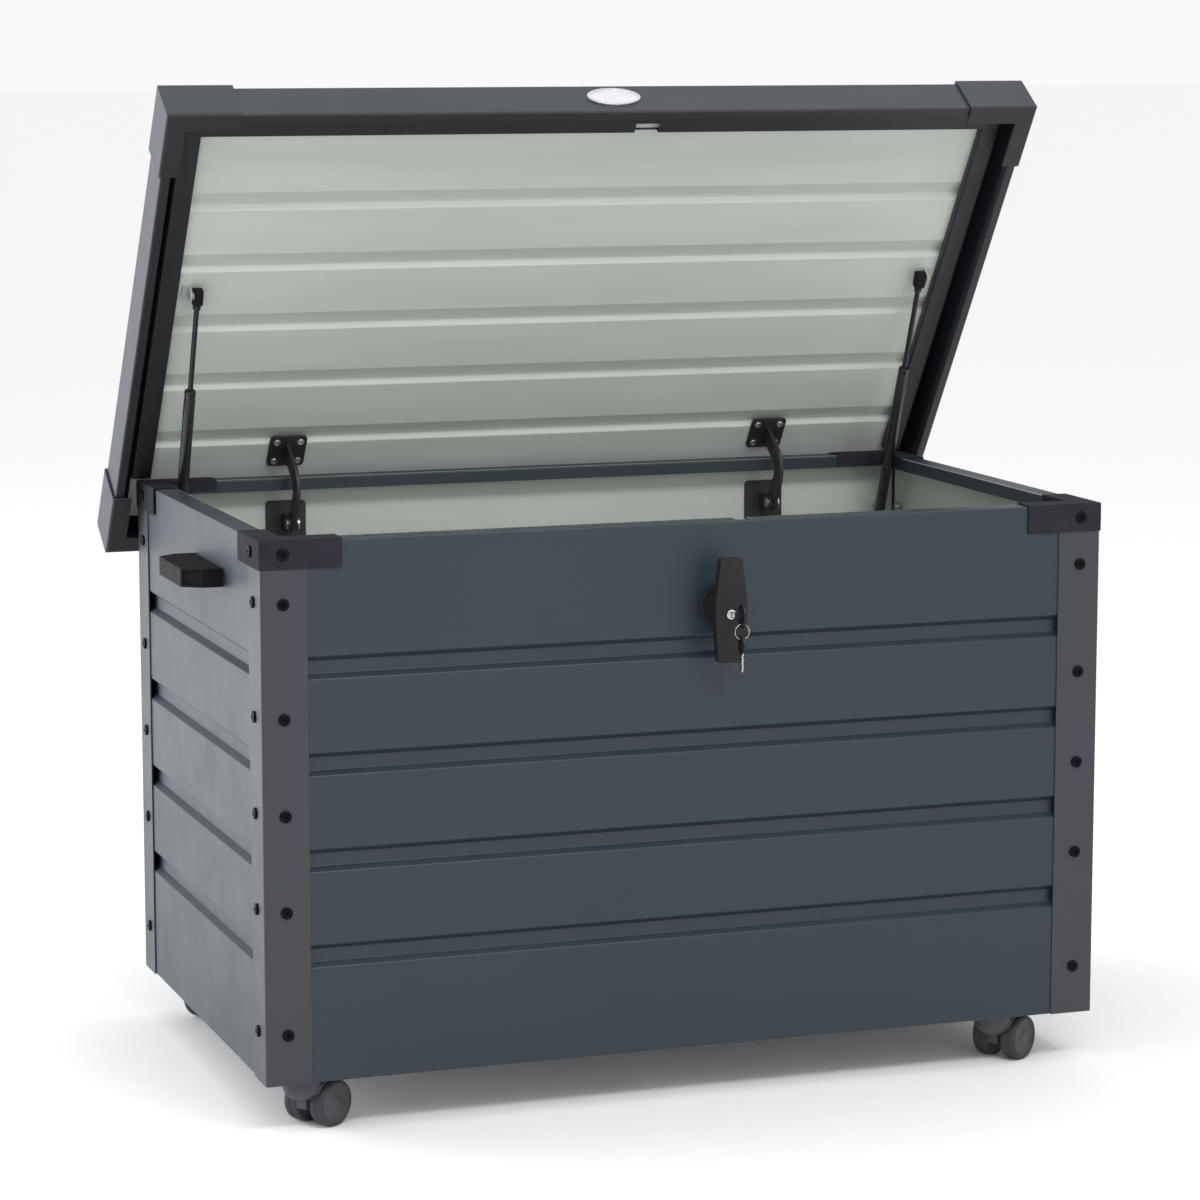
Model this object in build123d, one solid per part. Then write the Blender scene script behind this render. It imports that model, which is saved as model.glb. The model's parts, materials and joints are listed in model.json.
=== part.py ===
"""Steel garden storage box on casters, with a gas-strut lid held open on gooseneck hinges."""
from build123d import *
import math
import os

# ---------------------------------------------------------------- driving dimensions (mm)
# X runs along the front from left to right, Y from front to rear, Z up from the floor.

BODY_WIDTH = 950.0            # over the corner posts
BODY_DEPTH = 562.0
POST_BOTTOM = 56.0
CAP_TOP = 629.0               # top of the body's corner caps
RIM_TOP = 627.5               # top of the folded panel rims
SHEET = 1.0                   # ribbed wall, floor and lid sheets
POST_SHEET = 1.5
TRIM_SHEET = 1.2              # caps and lid rails
BEND = 2.0                    # bend radius at the middle of a sheet

POST_FLANGE = 49.5
WALL_END_GAP = 1.3            # clear of the posts' inside bend
SIDE_WALL_END = 10.0          # side walls stop behind the front and rear walls
RIM_WIDTH = 26.0
RIM_LIP = 14.0
GROOVE_PITCH = 101.2
GROOVE_COUNT = 4
GROOVE_OPENING = 25.0
GROOVE_FLOOR = 14.0
GROOVE_DEPTH = 7.0
GROOVE_MIDDLE = (POST_BOTTOM + CAP_TOP) / 2

CAP_ARM = 87.0
CAP_SKIRT = 31.0
CAP_INNER_SKIRT = 12.0

SCREW_HEIGHTS = [562.0, 442.5, 341.0, 239.5, 109.5]
CAP_SCREW_HEIGHT = 614.0
SCREW_RADIUS = 3.0
SCREW_HOLE = 3.2
FRONT_SCREW_X = 451.0
SIDE_SCREW_Y = 252.0
SIDE_CAP_SCREW_Y = 247.0

FRAME_BOTTOM = 58.0
FRAME_HEIGHT = 25.0
FRAME_DEPTH = 20.0
FLOOR_RIB = 4.0

LID_WIDTH = 1009.0            # over the lid rails
LID_DEPTH = 614.6
LID_HEIGHT = 49.8
LID_BOTTOM = 607.2            # rail underside with the lid closed
LID_PANEL = 31.0              # panel underside above the rail underside
LID_SEAT = 21.9               # seat underside above the rail underside
LID_SEAT_START = 88.0         # the seats stop this far in front of the rear rail
LID_RIB_PITCH = 84.5
LID_RIB_COUNT = 5
LID_RIB_FRONT = 17.0          # long slope, towards the lid's front
LID_RIB_TOP = 4.0
LID_RIB_REAR = 3.5            # steep slope
LID_RIB_HEIGHT = 7.0
LID_CAP_ARM = 79.5
LID_CAP_WALL = 2.5            # moulded
LID_CAP_FIT = 0.5             # between the cap and the rails inside it
LID_OPEN_ANGLE = 55.724       # lid angle in this rest pose

HINGE_Y = 249.4
HINGE_Z = 574.27
HINGE_X = 300.0
HINGE_PIN_RADIUS = 4.0
HINGE_FIT = 0.05
ARM_THICKNESS = 4.0
ARM_WIDTH = 20.0
ARM_REACH = 58.0

STRUT_X = 437.5
STRUT_LOWER = (255.0, 515.0)  # ball centre on the body: y, z
STRUT_UPPER = (355.5, 20.0)   # ball centre on the lid: distance from its rear face, height in it
STRUT_CYLINDER_RADIUS = 6.5
STRUT_ROD_RADIUS = 3.0
STRUT_EXPOSED_ROD = 103.0
STRUT_FITTING = 13.2          # from the rod's shoulder to the upper ball
STRUT_FITTING_WIDTH = 10.2
STRUT_EYE_WIDTH = 13.2        # lower socket, around the body's ball
BALL_RADIUS = 5.0

LOCK_X = 25.0
LOCK_Z = 537.5
HANDLE_FACE_Y = -322.0
HANDLE_THICKNESS = 11.0
HANDLE_LENGTH = 111.0
SHAFT_RADIUS = 6.0
PLUG_DROP = 4.0               # lock cylinder below the handle's axis
PLUG_RADIUS = 5.5
LATCH_RADIUS = 95.5
LATCH_FRONT_Y = -252.5
LATCH_THICKNESS = 4.0
LATCH_LUG_Y = -272.0

KEY_HEAD_Y = -352.0
RING_RADIUS = 8.0
RING_WIRE = 0.8

SIDE_HANDLE_Y = -54.5
SIDE_HANDLE_LENGTH = 99.0     # of the outer face
SIDE_HANDLE_FLARE = 15.0      # each end is this much longer at the wall
SIDE_HANDLE_NECK = 21.0       # straight part of the ends, next to the wall
SIDE_HANDLE_DEPTH = 41.0
SIDE_HANDLE_TOP = 579.3
SIDE_HANDLE_HEIGHT = 20.0

CASTER_X = 399.0
CASTER_Y = 228.4
CASTER_ANGLE = 33.9           # rolling direction, from +X towards +Y
CASTER_TRAIL = 10.0
WHEEL_RADIUS = 25.0
WHEEL_WIDTH = 19.0
WHEEL_OFFSET = 18.0
AXLE_RADIUS = 3.0
KINGPIN_RADIUS = 4.0
HOOD_RADIUS = 28.5
HOOD_SETBACK = 6.5            # the wheels stand out past the hood
BUMPER_RADIUS = 21.0          # rounded bumper on the trailing side
BUMPER_REACH = 25.0           # its middle behind the axle
BUMPER_DROP = 17.0            # depth of its rounded underside
PLATE_SIZE = 56.0
PLATE_THICKNESS = 2.5

SIDES = {"front": 0, "right": 90, "back": 180, "left": -90}
CORNERS = {
    "front_left": (-1, -1),
    "front_right": (1, -1),
    "rear_left": (-1, 1),
    "rear_right": (1, 1),
}
HINGE_AXIS = Axis((0, HINGE_Y, HINGE_Z), (1, 0, 0))


# ---------------------------------------------------------------- helpers

def save(node, *solids):
    """Write one node, as one solid or as a group of separate ones."""
    shapes = [s for item in solids for s in item.solids()]
    export_step(shapes[0] if len(shapes) == 1 else Compound(children=shapes), f"parts/{node}.step")


def block(x, y, z):
    """A box between two limits on each axis."""
    size = [b - a for a, b in (x, y, z)]
    middle = [(a + b) / 2 for a, b in (x, y, z)]
    return Pos(*middle) * Box(*size)


def rod_along_x(y, z, radius, x0, x1):
    return Pos((x0 + x1) / 2, y, z) * Rot(0, 90, 0) * Cylinder(radius, abs(x1 - x0))


def rod_along_y(x, z, radius, y0, y1):
    return Pos(x, (y0 + y1) / 2, z) * Rot(90, 0, 0) * Cylinder(radius, abs(y1 - y0))


def rod_along_z(x, y, radius, z0, z1):
    return Pos(x, y, (z0 + z1) / 2) * Cylinder(radius, abs(z1 - z0))


def along_x(profile, x0, x1):
    """Extrude a (y, z) profile between two x."""
    return extrude(Plane.YZ.offset(x0) * profile, amount=x1 - x0)


def along_y(profile, y0, y1):
    """Extrude an (x, z) profile between two y."""
    plane = Plane(origin=(0, y0, 0), x_dir=(1, 0, 0), z_dir=(0, -1, 0))
    return extrude(plane * profile, amount=-(y1 - y0))


def along_z(profile, z0, z1):
    """Extrude an (x, y) profile between two z."""
    return extrude(Plane.XY.offset(z0) * profile, amount=z1 - z0)


def bent_sheet(points, thickness, radius=BEND):
    """The cross-section of a folded sheet, from the corners of its middle line."""
    return trace(FilletPolyline(*points, radius=radius), line_width=thickness)


def polygon(*points):
    return make_face(Polyline(*points, close=True))


def half_span(side, width, depth):
    return depth / 2 if side in ("front", "back") else width / 2


def half_length(side, width, depth):
    return width / 2 if side in ("front", "back") else depth / 2


def to_side(shape, side, width=BODY_WIDTH, depth=BODY_DEPTH):
    """Move a wall piece, drawn with y as depth behind the outer face, to its side."""
    return Rot(0, 0, SIDES[side]) * Pos(0, -half_span(side, width, depth), 0) * shape


def to_lid_side(shape, side):
    """Move a lid rail piece, drawn with y as depth and z from the rail's underside."""
    return Pos(0, 0, LID_BOTTOM) * to_side(shape, side, LID_WIDTH, LID_DEPTH)


def opened(shape):
    """Turn a piece of the closed lid to the open rest pose."""
    return shape.rotate(HINGE_AXIS, -LID_OPEN_ANGLE)


def mirrored_pair(shape):
    """The piece and its mirror image across the middle of the box."""
    return shape, mirror(shape, about=Plane.YZ)


# ---------------------------------------------------------------- screws and nuts

def pan_screw(length, head_radius=6.2, head_height=3.0, radius=SCREW_RADIUS):
    """A cross-recessed pan screw, its head's underside at y = 0 and its shank along +y."""
    head = rod_along_y(0, 0, head_radius, -head_height, 0)
    head = fillet(head.edges().sort_by(Axis.Y)[0], head_height * 0.55)
    half_slot = head_radius * 0.475
    for angle in (0, 90):
        slot = block((-0.7, 0.7), (-head_height - 1, -head_height + 1.5), (-half_slot, half_slot))
        head -= Rot(0, angle, 0) * slot
    return head + rod_along_y(0, 0, radius, -0.5, length)


def hex_nut(across, thickness, bore, y0):
    """A hexagon nut on the y axis, starting at y0."""
    nut = along_y(RegularPolygon(across / 2, 6, major_radius=False), y0, y0 + thickness)
    return nut - rod_along_y(0, 0, bore, y0 - 1, y0 + thickness + 1)


def screw_places(side):
    """(x, z, depth of the head's seat) of each screw on one wall."""
    places = []
    post_x, cap_x = (FRONT_SCREW_X, FRONT_SCREW_X)
    if side in ("left", "right"):
        post_x, cap_x = (SIDE_SCREW_Y, SIDE_CAP_SCREW_Y)
    for sign in (-1, 1):
        places.append((sign * cap_x, CAP_SCREW_HEIGHT, -TRIM_SHEET))
        places += [(sign * post_x, z, 0.0) for z in SCREW_HEIGHTS]
    return places


def screw_holes(side):
    holes = [rod_along_y(x, z, SCREW_HOLE, -3, 4) for x, z, _ in screw_places(side)]
    return to_side(Compound(children=holes), side)


ALL_HOLES = [hole for side in SIDES for hole in screw_holes(side).solids()]


def drilled(shape):
    """Cut the screw holes that meet this piece."""
    box = shape.bounding_box()
    near = []
    for hole in ALL_HOLES:
        other = hole.bounding_box()
        apart = (
            other.min.X > box.max.X or other.max.X < box.min.X
            or other.min.Y > box.max.Y or other.max.Y < box.min.Y
            or other.min.Z > box.max.Z or other.max.Z < box.min.Z
        )
        if not apart:
            near.append(hole)
    return shape - near if near else shape


def body_screws():
    screw = pan_screw(11.0)
    nut = hex_nut(10.0, 5.0, SCREW_RADIUS, POST_SHEET + SHEET)
    screws, nuts = [], []
    for side in SIDES:
        for x, z, seat in screw_places(side):
            screws.append(to_side(Pos(x, seat, z) * screw, side))
            nuts.append(to_side(Pos(x, 0, z) * nut, side))
    ring_nut = Pos(LOCK_X, -BODY_DEPTH / 2, LOCK_Z) * hex_nut(30.0, 6.0, 10.0, POST_SHEET + SHEET)
    save("panel_screws", *screws)
    save("inside_nuts", *nuts, ring_nut)


# ---------------------------------------------------------------- body shell

def groove_points(height, depth, middle_line):
    """Middle line of one trapezoidal groove, from its lower to its upper edge."""
    return [
        (middle_line, height - GROOVE_OPENING / 2),
        (middle_line + depth, height - GROOVE_FLOOR / 2),
        (middle_line + depth, height + GROOVE_FLOOR / 2),
        (middle_line, height + GROOVE_OPENING / 2),
    ]


def wall_profile():
    """Section of a ribbed wall: bottom hem, four grooves, folded rim and its lip."""
    skin = POST_SHEET + SHEET / 2
    rim = RIM_TOP - SHEET / 2
    points = [(skin + 14, POST_BOTTOM + SHEET / 2), (skin, POST_BOTTOM + SHEET / 2)]
    for i in range(GROOVE_COUNT):
        height = GROOVE_MIDDLE + (i - (GROOVE_COUNT - 1) / 2) * GROOVE_PITCH
        points += groove_points(height, GROOVE_DEPTH, skin)
    inner = POST_SHEET + RIM_WIDTH - SHEET / 2
    points += [(skin, rim), (inner, rim), (inner, rim - RIM_LIP)]
    return bent_sheet(points, SHEET, radius=1.5)


def wall(side):
    length = half_length(side, BODY_WIDTH, BODY_DEPTH)
    if side in ("front", "back"):
        end = length - POST_SHEET - WALL_END_GAP
        panel = along_x(wall_profile(), -end, end)
        for sign in (-1, 1):
            x = sorted((sign * (end - RIM_WIDTH - 1), sign * (end + 1)))
            for z in ((RIM_TOP - 20, RIM_TOP + 1), (POST_BOTTOM - 1, POST_BOTTOM + 6)):
                panel -= block(x, (POST_SHEET + SHEET + 0.6, RIM_WIDTH + 4), z)
    else:
        end = length - SIDE_WALL_END
        panel = along_x(wall_profile(), -end, end)
    panel = drilled(to_side(panel, side))
    return panel - handle_screw_holes(side) if side in ("left", "right") else panel


def walls():
    for side in SIDES:
        panel = wall(side)
        if side == "front":
            panel -= rod_along_y(LOCK_X, LOCK_Z, 10.0, -290, -270)
            # way for the latch lug through the rim and its lip
            panel -= block((LOCK_X + 24, LOCK_X + 42), (-274, -250), (RIM_TOP - 6, RIM_TOP + 1))
            panel -= block((LOCK_X + 24, LOCK_X + 67), (-256, -250), (RIM_TOP - RIM_LIP - 3, RIM_TOP + 1))
        save(f"{side}_panel", panel)


def posts():
    flange = POST_FLANGE
    middle = POST_SHEET / 2
    section = bent_sheet([(middle, flange), (middle, middle), (flange, middle)], POST_SHEET)
    corner = along_z(section, POST_BOTTOM, RIM_TOP - 0.2)
    corner = Pos(-BODY_WIDTH / 2, -BODY_DEPTH / 2, 0) * corner
    for name, post in corner_copies(corner).items():
        save(f"post_{name}", drilled(post))


def corner_copies(corner):
    """Mirror the front left piece to all four corners."""
    copies = {}
    for name, (sx, sy) in CORNERS.items():
        piece = corner
        if sx > 0:
            piece = mirror(piece, about=Plane.YZ)
        if sy > 0:
            piece = mirror(piece, about=Plane.XZ)
        copies[name] = piece
    return copies


def ell(near, far, arm):
    """L-shaped plan along two edges of a corner at the origin."""
    return polygon((near, near), (arm, near), (arm, far), (far, far), (far, arm), (near, arm))


def body_caps():
    outer = -TRIM_SHEET
    inner = POST_SHEET + RIM_WIDTH + 0.2
    bottom = CAP_TOP - CAP_SKIRT
    cap = along_z(ell(outer, inner + TRIM_SHEET, CAP_ARM), bottom, CAP_TOP)
    outer_corner = cap.edges().filter_by(Axis.Z).sort_by(lambda e: e.center().X + e.center().Y)[0]
    cap = fillet(outer_corner, 2.5)
    top_edges = cap.edges().filter_by(lambda e: abs(e.center().Z - CAP_TOP) < 0.01)
    cap = fillet([e for e in top_edges if min(e.center().X, e.center().Y) < 0.5], 1.0)
    cap -= along_z(ell(0, inner, CAP_ARM + 1), bottom - 1, CAP_TOP - TRIM_SHEET)
    inner_bottom = CAP_TOP - TRIM_SHEET - CAP_INNER_SKIRT
    cap -= along_z(ell(POST_FLANGE - 30, inner + 3, CAP_ARM + 1), bottom - 1, inner_bottom)
    cap = Pos(-BODY_WIDTH / 2, -BODY_DEPTH / 2, 0) * cap
    for name, piece in corner_copies(cap).items():
        if name.startswith("rear"):
            # bevel of the rear top edge, under the lid's swing
            edge_y = BODY_DEPTH / 2 + TRIM_SHEET
            bevel = polygon((edge_y - 3.4, CAP_TOP), (edge_y, CAP_TOP - 2.2), (edge_y + 5, CAP_TOP + 4))
            piece -= along_x(bevel, -480, 480)
        save(f"corner_cap_{name}", drilled(piece))


def base_frame():
    """Channels under the floor: four along the walls, three across the box."""
    low = FRAME_BOTTOM + POST_SHEET / 2
    high = FRAME_BOTTOM + FRAME_HEIGHT - POST_SHEET / 2
    near = POST_SHEET + SHEET + POST_SHEET / 2
    far = POST_SHEET + SHEET + FRAME_DEPTH
    rail = bent_sheet([(far, low), (near, low), (near, high), (far, high)], POST_SHEET)
    members = []
    reach = BODY_DEPTH / 2 - far - 0.5
    for side, length in (("front", 471.0), ("back", 471.0), ("left", reach), ("right", reach)):
        members.append(to_side(along_x(rail, -length, length), side))
    for x, width in ((-CASTER_X, 70.0), (0.0, 40.0), (CASTER_X, 70.0)):
        half = width / 2 - POST_SHEET / 2
        channel = [(x - half, high), (x - half, low), (x + half, low), (x + half, high)]
        member = along_y(bent_sheet(channel, POST_SHEET), -reach, reach)
        if x:
            member -= [hole for cy in (-CASTER_Y, CASTER_Y) for hole in plate_holes(x, cy)]
        members.append(member)
    save("base_frame", *members)


def floor_panel():
    level = FRAME_BOTTOM + FRAME_HEIGHT + SHEET / 2
    half = BODY_DEPTH / 2 - POST_SHEET - SHEET - 1
    points = [(-half, level)]
    for y in (-220, -140, -60, 60, 140, 220):
        points += [(y - 12, level), (y - 8, level + FLOOR_RIB), (y + 8, level + FLOOR_RIB), (y + 12, level)]
    points.append((half, level))
    save("floor_panel", along_x(bent_sheet(points, SHEET, radius=1.2), -471, 471))


# ---------------------------------------------------------------- side handles

def handle_ends():
    """y of the front and rear end of a side handle at the wall."""
    reach = SIDE_HANDLE_LENGTH / 2 + SIDE_HANDLE_FLARE
    return SIDE_HANDLE_Y - reach, SIDE_HANDLE_Y + reach


def side_handles():
    """Lift handles: flared solid ends with a shallow recess, a finger pocket from below."""
    wall_x = -(BODY_WIDTH / 2 - POST_SHEET)
    outer_x = -(BODY_WIDTH / 2 + SIDE_HANDLE_DEPTH)
    neck_x = -(BODY_WIDTH / 2 + SIDE_HANDLE_NECK)
    front, rear = handle_ends()
    flare = SIDE_HANDLE_FLARE
    top = SIDE_HANDLE_TOP
    low = top - SIDE_HANDLE_HEIGHT
    outline = polygon(
        (wall_x, front), (neck_x, front), (outer_x, front + flare),
        (outer_x, rear - flare), (neck_x, rear), (wall_x, rear),
    )
    outline = fillet(outline.vertices().sort_by(Axis.X)[0:4], 2.0)
    body = along_z(outline, low, top)
    top_edges = body.faces().sort_by(Axis.Z)[-1].edges()
    body = chamfer(top_edges.filter_by(lambda e: e.center().X < wall_x - 1), 0.8)
    body -= block((outer_x + 4, wall_x - 3), (front + flare + 8, rear - flare - 8), (low - 1, top - 3))
    slant = math.degrees(math.atan2(flare, SIDE_HANDLE_DEPTH - SIDE_HANDLE_NECK))
    middle_x = (neck_x + outer_x) / 2
    for y, sign in ((front + flare / 2, 1), (rear - flare / 2, -1)):
        recess = block((-9.5, 9.5), (-1.8, 1.8), (low + 2.5, top - 2.5))
        body -= Pos(middle_x, y, 0) * Rot(0, 0, -sign * slant) * recess
    screws = []
    for y in (front + 10, rear - 10):
        body -= rod_along_x(y, low + 10, 2.5, wall_x - 15, wall_x + 1)
        screw = Rot(0, 0, 90) * pan_screw(15.5, head_radius=4.5, head_height=2.4, radius=2.5)
        screws.append(Pos(wall_x + SHEET, y, low + 10) * screw)
    handles = mirrored_pair(body)
    save("side_handle_left", handles[0])
    save("side_handle_right", handles[1])
    save("handle_screws", *[copy for s in screws for copy in mirrored_pair(s)])


def handle_screw_holes(side):
    """Holes of the side handle screws in one side wall."""
    low = SIDE_HANDLE_TOP - SIDE_HANDLE_HEIGHT
    x = math.copysign(BODY_WIDTH / 2, -1 if side == "left" else 1)
    front, rear = handle_ends()
    return [rod_along_x(y, low + 10, 2.6, x - 5, x + 5) for y in (front + 10, rear - 10)]


# ---------------------------------------------------------------- casters

def plate_holes(x, y):
    """Bolt holes around one caster's kingpin."""
    return [
        rod_along_z(x + dx, y + dy, 2.6, FRAME_BOTTOM - 4, FRAME_BOTTOM + 4)
        for dx in (-20, 20) for dy in (-20, 20)
    ]


def caster_plates():
    """Mounting plates with their riveted kingpins, and the countersunk bolts and nuts."""
    bottom = FRAME_BOTTOM - PLATE_THICKNESS
    plates, bolts = [], []
    for sx in (-1, 1):
        for sy in (-1, 1):
            x, y = sx * CASTER_X, sy * CASTER_Y
            half = PLATE_SIZE / 2
            plate = block((x - half, x + half), (y - half, y + half), (bottom, FRAME_BOTTOM))
            plate = fillet(plate.edges().filter_by(Axis.Z), 6.0)
            plate += rod_along_z(x, y, KINGPIN_RADIUS, bottom - 24.5, bottom + 1)
            plate -= plate_holes(x, y)
            for dx in (-20, 20):
                for dy in (-20, 20):
                    sink = Pos(x + dx, y + dy, bottom + 0.8) * Cone(4.6, 2.6, 1.6)
                    plate -= sink
                    bolt = Pos(x + dx, y + dy, bottom + 0.8) * Cone(4.55, 2.5, 1.6)
                    bolt += rod_along_z(x + dx, y + dy, 2.5, bottom + 1, bottom + 10.5)
                    nut = along_z(RegularPolygon(4.0, 6, major_radius=False), 0, 4)
                    nut -= Cylinder(2.5, 10)
                    bolts += [bolt, Pos(x + dx, y + dy, FRAME_BOTTOM + POST_SHEET) * nut]
            plates.append(plate)
    save("caster_plates", *plates)
    save("caster_bolts", *bolts)


def caster_place(sx, sy):
    """Frame of one caster: x along the roll, y along the axle, origin on the kingpin's axis."""
    return Pos(sx * CASTER_X, sy * CASTER_Y, 0) * Rot(0, 0, CASTER_ANGLE)


def hood_sector():
    """Region of the hood: over the wheels to the bumper, as an (x, z) face."""
    far = 60.0
    low = math.radians(150)
    high = math.radians(52)
    return polygon(
        (0, 0),
        (far * math.cos(high), far * math.sin(high)),
        (0, far),
        (-far, far),
        (far * math.cos(low), far * math.sin(low)),
    )


def caster_housings_and_wheels():
    axle_x = -CASTER_TRAIL
    clear = WHEEL_RADIUS + 1.2
    half = WHEEL_OFFSET + WHEEL_WIDTH / 2 - HOOD_SETBACK
    web = 6.5
    hood = rod_along_y(axle_x, WHEEL_RADIUS, HOOD_RADIUS, -half, half)
    hood = fillet(hood.edges().filter_by(GeomType.CIRCLE), 2.0)
    hood -= rod_along_y(axle_x, WHEEL_RADIUS, clear, -half - 1, half + 1)
    hood &= along_y(Pos(axle_x, WHEEL_RADIUS) * hood_sector(), -half - 1, half + 1)
    core = rod_along_y(axle_x, WHEEL_RADIUS, clear + 0.5, -web, web)
    core -= block((axle_x - 40, axle_x + 40), (-web - 1, web + 1), (-10, WHEEL_RADIUS - AXLE_RADIUS - 2))
    ceiling = FRAME_BOTTOM - PLATE_THICKNESS - 1.5
    bumper_z = ceiling - 7.5
    bumper = scale(Sphere(BUMPER_RADIUS), by=(1, 1, BUMPER_DROP / BUMPER_RADIUS))
    bumper = Pos(0, 0, bumper_z) * bumper + rod_along_z(0, 0, BUMPER_RADIUS, bumper_z, ceiling)
    bumper &= block((-40, 40), (-40, 40), (0, ceiling))
    bumper = Pos(axle_x - BUMPER_REACH, 0, 0) * bumper
    bumper -= rod_along_y(axle_x, WHEEL_RADIUS, clear, -half - 1, half + 1)
    boss = rod_along_z(0, 0, 9.0, WHEEL_RADIUS + 12, FRAME_BOTTOM - PLATE_THICKNESS - 0.6)
    boss &= block((-20, 20), (-web, web), (0, 80))
    collar = rod_along_z(0, 0, 9.0, WHEEL_RADIUS + clear - 1.5, FRAME_BOTTOM - PLATE_THICKNESS - 0.6)
    collar -= rod_along_y(axle_x, WHEEL_RADIUS, clear, -half, half)
    housing = hood + core + boss + collar + bumper
    housing -= rod_along_z(0, 0, KINGPIN_RADIUS + 0.05, WHEEL_RADIUS + 5.5, 70)
    housing -= rod_along_y(axle_x, WHEEL_RADIUS, AXLE_RADIUS, -40, 40)
    axle_half = WHEEL_OFFSET + WHEEL_WIDTH / 2 - 3.0
    axle = rod_along_y(axle_x, WHEEL_RADIUS, AXLE_RADIUS, -axle_half, axle_half)
    wheel = caster_wheel()
    for name, (sx, sy) in CORNERS.items():
        place = caster_place(sx, sy)
        save(f"caster_{name}_housing", place * housing, place * axle)
        for letter, sign in (("a", 1), ("b", -1)):
            turned = wheel if sign > 0 else Rot(0, 0, 180) * wheel
            placed = Pos(axle_x, sign * WHEEL_OFFSET, WHEEL_RADIUS) * turned
            save(f"caster_{name}_wheel_{letter}", place * placed)


def caster_wheel():
    """One wheel on the y axis, its outer face towards +y, with a blind bore from inside."""
    half = WHEEL_WIDTH / 2
    rim = WHEEL_RADIUS
    outline = polygon(
        (0, -half), (rim - 3.5, -half), (rim, -half + 3.5), (rim, half - 4.0),
        (rim - 4.0, half), (rim - 6.5, half), (rim - 8.0, half - 1.2), (0, half - 1.2),
    )
    wheel = revolve(Plane.XY * outline, axis=Axis.Y)
    return wheel - rod_along_y(0, 0, AXLE_RADIUS + HINGE_FIT, -half - 1, half - 2.8)


# ---------------------------------------------------------------- lid

def lid_region(side, depth=80.0, outset=0.0):
    """Plan of one rail with mitred ends."""
    length = half_length(side, LID_WIDTH, LID_DEPTH)
    near = length + outset
    return polygon((-near, -outset), (near, -outset), (length - depth, depth), (depth - length, depth))


def mitred(shape, side, outset=0.0):
    return shape & along_z(lid_region(side, outset=outset), -10, LID_HEIGHT + 20)


def rail_skin():
    """Outer part of a lid rail: folded lip, face, top, bevel and down-turned inner edge."""
    t = TRIM_SHEET / 2
    points = [
        (10.9, 8.5), (10.9, t), (t, t), (t, LID_HEIGHT - t), (16.5, LID_HEIGHT - t),
        (48.8, LID_PANEL + 9.8), (58.2, LID_PANEL + 9.8), (58.2, LID_PANEL + SHEET),
    ]
    return bent_sheet(points, TRIM_SHEET, radius=1.6)


def seat_section():
    """Seat channel under a rail, which closes onto the body's rim."""
    low = LID_SEAT + TRIM_SHEET / 2
    points = [(23.1, LID_HEIGHT - 3.0), (23.1, low), (44.7, low), (44.7, LID_PANEL)]
    return bent_sheet(points, TRIM_SHEET, radius=1.6)


def relief_section():
    """Plain inner wall where a rail passes over the body's rear edge."""
    half = TRIM_SHEET / 2
    return polygon(
        (23.1 - half, LID_PANEL), (23.1 + half, LID_PANEL),
        (23.1 + half, LID_HEIGHT - 3), (23.1 - half, LID_HEIGHT - 2.6),
    )


def rib_centres():
    """Distance of each lid rib from the lid's middle."""
    return [(i - (LID_RIB_COUNT - 1) / 2) * LID_RIB_PITCH for i in range(LID_RIB_COUNT)]


def lid_rails():
    for side in SIDES:
        length = half_length(side, LID_WIDTH, LID_DEPTH)
        rail = mitred(along_x(rail_skin(), -length, length), side)
        seat = along_x(seat_section(), -length, length)
        relief = along_x(relief_section(), -length, length)
        if side == "front":
            rail += mitred(seat, side)
        elif side == "back":
            rail += mitred(relief, side)
        else:
            # local x points to the front on the left and to the rear on the right
            rear = -length if side == "left" else length
            step = rear + math.copysign(LID_SEAT_START, -rear)
            behind = block(sorted((step, rear)), (-5, 80), (-5, 80))
            rail += mitred(seat - behind, side)
            rail += mitred(relief & behind, side)
            for centre in rib_centres():
                clear = polygon(
                    (centre - 16, LID_PANEL - 1), (centre + 16, LID_PANEL - 1),
                    (centre + 9.5, LID_PANEL + 8.9), (centre - 9.5, LID_PANEL + 8.9),
                )
                rail -= along_y(clear, 50, 62)
        rail = to_lid_side(rail, side)
        if side == "front":
            seat_z = LID_BOTTOM + LID_SEAT
            floor_z = seat_z + TRIM_SHEET
            # slot in the seat's inner wall and entry for the latch lug
            rail -= block((LOCK_X - 12, LOCK_X + 38), (-264.5, -260), (floor_z, floor_z + 5.6))
            rail -= block((LOCK_X + 9.5, LOCK_X + 38), (-275, -260), (seat_z - 1, floor_z + 0.5))
        name = "rear" if side == "back" else side
        save(f"lid_rail_{name}", opened(rail))


def lid_panel():
    level = LID_PANEL + SHEET / 2
    half = LID_DEPTH / 2 - 24.0
    points = [(-half, level)]
    for centre in rib_centres():
        start = centre - (LID_RIB_FRONT + LID_RIB_TOP + LID_RIB_REAR) / 2
        crest = start + LID_RIB_FRONT
        points += [
            (start, level), (crest, level + LID_RIB_HEIGHT),
            (crest + LID_RIB_TOP, level + LID_RIB_HEIGHT), (crest + LID_RIB_TOP + LID_RIB_REAR, level),
        ]
    points.append((half, level))
    end = LID_WIDTH / 2 - 24.0
    panel = along_x(bent_sheet(points, SHEET, radius=1.5), -end, end)
    save("lid_panel", opened(Pos(0, 0, LID_BOTTOM) * panel))


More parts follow.
